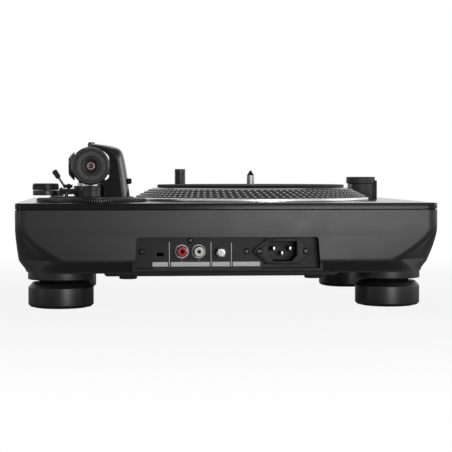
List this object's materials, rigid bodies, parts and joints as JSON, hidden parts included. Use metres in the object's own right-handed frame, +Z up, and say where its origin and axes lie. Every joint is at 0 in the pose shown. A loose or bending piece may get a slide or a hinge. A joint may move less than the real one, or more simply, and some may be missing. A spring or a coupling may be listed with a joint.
{
  "type": "turntable record player",
  "caption": "Compact direct-drive record player: platter with strobe dots, gimballed arm with height ring, round levelling feet, recessed rear connectors.",
  "frame": {"origin": "on the floor under the middle of the chassis", "axes": "+Z up, +X to the player's right (arm side), +Y towards the rear connector panel"},
  "size_m": [0.36, 0.3, 0.1428],
  "materials": {
    "plate_black": "satin",
    "shell_black": "satin",
    "cover_black": "satin",
    "pad_rubber": "matte",
    "screw_black": "satin",
    "foot_black": "satin",
    "sole_rubber": "matte",
    "cast_alloy": "satin",
    "stator_copper": "satin",
    "bearing_bronze": "satin",
    "platter_alloy": "polished",
    "ferrite": "matte",
    "spindle_steel": "polished",
    "mat_felt": "matte",
    "ring_black": "satin",
    "arm_black": "satin",
    "tube_silver": "satin",
    "shaft_copper": "polished",
    "weight_grey": "satin",
    "dial_black": "satin",
    "headshell_black": "satin",
    "cartridge_black": "gloss",
    "stylus_silver": "polished",
    "lever_black": "satin",
    "knob_black": "satin",
    "track_steel": "satin",
    "button_silver": "satin",
    "button_grey": "satin",
    "tower_black": "satin",
    "window_clear": "gloss",
    "light_black": "satin",
    "socket_plastic": "satin",
    "panel_black": "satin",
    "shell_chrome": "polished",
    "plastic_red": "gloss",
    "plastic_white": "gloss",
    "inlet_black": "satin",
    "pin_steel": "polished",
    "board_green": "satin"
  },
  "bodies": {
    "chassis": {"top_plate": "plate_black", "base_shell": "shell_black", "bottom_cover": "cover_black", "cover_pads": "pad_rubber", "case_screws": "screw_black", "motor_base": "cast_alloy", "motor_stator": "stator_copper", "bearing_bushes": "bearing_bronze", "arm_socket": "cast_alloy", "arm_rest": "arm_black", "fader_body": "track_steel", "strobe_tower": "tower_black", "strobe_window": "window_clear", "light_socket": "socket_plastic", "connector_panel": "panel_black", "rca_shells": "shell_chrome", "rca_red": "plastic_red", "rca_white": "plastic_white", "mains_inlet": "inlet_black", "inlet_pins": "pin_steel", "service_port": "pin_steel", "power_board": "board_green", "main_board": "board_green"},
    "rotor": {"platter": "platter_alloy", "rotor_magnet": "ferrite", "spindle": "spindle_steel"},
    "mat": {"slipmat": "mat_felt"},
    "height_ring": {"vta_ring": "ring_black"},
    "arm_mount": {"arm_base": "arm_black", "arm_arch": "arm_black", "arch_screws": "screw_black"},
    "gimbal": {"gimbal_ring": "arm_black", "gimbal_cap": "arm_black"},
    "arm": {"arm_tube": "tube_silver", "rear_shaft": "shaft_copper", "headshell": "headshell_black", "cartridge": "cartridge_black", "stylus": "stylus_silver"},
    "weight": {"counterweight": "weight_grey"},
    "dial": {"weight_dial": "dial_black"},
    "collar": {"headshell_collar": "tube_silver"},
    "skate_dial": {"anti_skate_dial": "dial_black"},
    "cue": {"cue_lever": "lever_black"},
    "lifter": {"lifter_bar": "lever_black"},
    "clip": {"rest_clip": "lever_black"},
    "fader": {"pitch_fader": "knob_black"},
    "start": {"start_button": "button_silver"},
    "speed_33": {"button_33": "button_grey"},
    "speed_45": {"button_45": "button_grey"},
    "power": {"power_dial": "tower_black"},
    "light": {"target_light": "light_black"},
    "earth_screw": {"ground_screw": "shell_chrome"},
    "foot_rear_right_body": {"foot_rear_right": "foot_black", "sole_rear_right": "sole_rubber"},
    "foot_rear_left_body": {"foot_rear_left": "foot_black", "sole_rear_left": "sole_rubber"},
    "foot_front_right_body": {"foot_front_right": "foot_black", "sole_front_right": "sole_rubber"},
    "foot_front_left_body": {"foot_front_left": "foot_black", "sole_front_left": "sole_rubber"}
  },
  "joints": [
    {"name": "platter_spin", "type": "hinge", "parent": "chassis", "child": "rotor", "pos_m": [-0.033, -0.005, 0.097], "axis": [0, 0, 1], "continuous": true},
    {"name": "slipmat_slip", "type": "hinge", "parent": "rotor", "child": "mat", "pos_m": [-0.033, -0.005, 0.103], "axis": [0, 0, 1], "continuous": true},
    {"name": "ring_turn", "type": "hinge", "parent": "chassis", "child": "height_ring", "pos_m": [0.1165, 0.075, 0.092], "axis": [0, 0, 1], "range_deg": [0, 300]},
    {"name": "base_lift", "type": "slide", "parent": "chassis", "child": "arm_mount", "axis": [0, 0, 1], "range_m": [0, 0.006]},
    {"name": "arm_swing", "type": "hinge", "parent": "arm_mount", "child": "gimbal", "pos_m": [0.1165, 0.075, 0.1215], "axis": [0, 0, -1], "range_deg": [0, 50]},
    {"name": "arm_tilt", "type": "hinge", "parent": "gimbal", "child": "arm", "pos_m": [0.1165, 0.075, 0.1215], "axis": [-1, 0, 0], "range_deg": [0, 10]},
    {"name": "weight_travel", "type": "slide", "parent": "arm", "child": "weight", "axis": [0, -1, 0], "range_m": [0, 0.01]},
    {"name": "dial_turn", "type": "hinge", "parent": "weight", "child": "dial", "pos_m": [0.1165, 0.105, 0.1215], "axis": [0, 1, 0], "range_deg": [0, 1440]},
    {"name": "collar_turn", "type": "hinge", "parent": "arm", "child": "collar", "pos_m": [0.1165, -0.045, 0.1215], "axis": [0, 1, 0], "range_deg": [0, 60]},
    {"name": "skate_turn", "type": "hinge", "parent": "arm_mount", "child": "skate_dial", "pos_m": [0.157, 0.075, 0.103], "axis": [0, 0, 1], "range_deg": [0, 270]},
    {"name": "cue_swing", "type": "hinge", "parent": "arm_mount", "child": "cue", "pos_m": [0.137, 0.062, 0.10375], "axis": [1, 0, 0], "range_deg": [0, 60]},
    {"name": "lifter_drop", "type": "slide", "parent": "arm_mount", "child": "lifter", "axis": [0, 0, -1], "range_m": [0, 0.005]},
    {"name": "clip_swing", "type": "hinge", "parent": "chassis", "child": "clip", "pos_m": [0.126, -0.005, 0.127], "axis": [0, 0, -1], "range_deg": [0, 90]},
    {"name": "fader_slide", "type": "slide", "parent": "chassis", "child": "fader", "axis": [0, 1, 0], "range_m": [-0.03, 0.03]},
    {"name": "start_press", "type": "slide", "parent": "chassis", "child": "start", "axis": [0, 0, -1], "range_m": [0, 0.0012], "stiffness_N_per_m": 300, "springref_m": -0.002},
    {"name": "press_33", "type": "slide", "parent": "chassis", "child": "speed_33", "axis": [0, 0, -1], "range_m": [0, 0.0012], "stiffness_N_per_m": 200, "springref_m": -0.002},
    {"name": "press_45", "type": "slide", "parent": "chassis", "child": "speed_45", "axis": [0, 0, -1], "range_m": [0, 0.0012], "stiffness_N_per_m": 200, "springref_m": -0.002},
    {"name": "power_turn", "type": "hinge", "parent": "chassis", "child": "power", "pos_m": [-0.1488, -0.062, 0.108], "axis": [0, 0, 1], "range_deg": [0, 30]},
    {"name": "light_sink", "type": "slide", "parent": "chassis", "child": "light", "axis": [0, 0, -1], "range_m": [0, 0.024]},
    {"name": "ground_turn", "type": "hinge", "parent": "chassis", "child": "earth_screw", "pos_m": [0.0063, 0.141, 0.048], "axis": [0, 1, 0], "continuous": true},
    {"name": "foot_turn_rear_right", "type": "hinge", "parent": "chassis", "child": "foot_rear_right_body", "pos_m": [0.1426, 0.11, 0.02], "axis": [0, 0, 1], "range_deg": [-180, 180]},
    {"name": "foot_turn_rear_left", "type": "hinge", "parent": "chassis", "child": "foot_rear_left_body", "pos_m": [-0.1426, 0.11, 0.02], "axis": [0, 0, 1], "range_deg": [-180, 180]},
    {"name": "foot_turn_front_right", "type": "hinge", "parent": "chassis", "child": "foot_front_right_body", "pos_m": [0.1426, -0.11, 0.02], "axis": [0, 0, 1], "range_deg": [-180, 180]},
    {"name": "foot_turn_front_left", "type": "hinge", "parent": "chassis", "child": "foot_front_left_body", "pos_m": [-0.1426, -0.11, 0.02], "axis": [0, 0, 1], "range_deg": [-180, 180]}
  ],
  "couplings": [
    {"joint": "ring_turn", "follows": "base_lift", "rad_per_m": 872.66},
    {"joint": "dial_turn", "follows": "weight_travel", "rad_per_m": 2513.3},
    {"joint": "cue_swing", "follows": "lifter_drop", "rad_per_m": 209.43}
  ]
}
